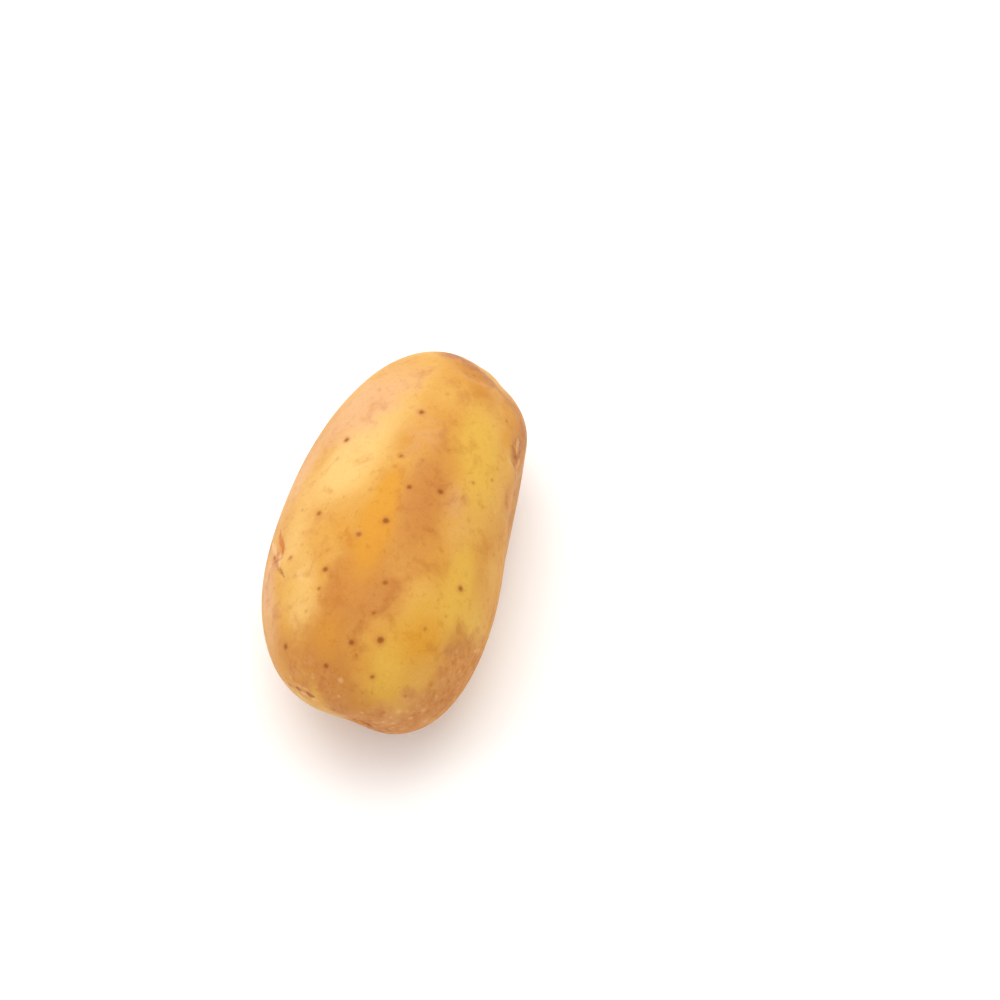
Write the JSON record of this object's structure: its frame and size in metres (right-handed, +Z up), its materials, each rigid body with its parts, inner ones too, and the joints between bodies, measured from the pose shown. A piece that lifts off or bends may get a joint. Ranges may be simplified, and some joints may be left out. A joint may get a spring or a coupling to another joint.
{
  "type": "potato",
  "caption": "Raw oblong potato lying on its side: smooth, slightly bent oval body with shallow browed eyes, a stolon scar at the heel end and a small flat rest spot.",
  "frame": {"origin": "on the surface it rests on, under the middle of the potato's box", "axes": "+X along the potato from the heel (stolon) end to the rose (bud) end, +Y across its width, +Z up, its shortest side"},
  "size_m": [0.1116, 0.0624, 0.0537],
  "materials": {
    "skin": "thin natural skin, golden tan with brown mottles and small dark pores, satin"
  },
  "bodies": {
    "root": {"potato": "skin"}
  },
  "joints": []
}
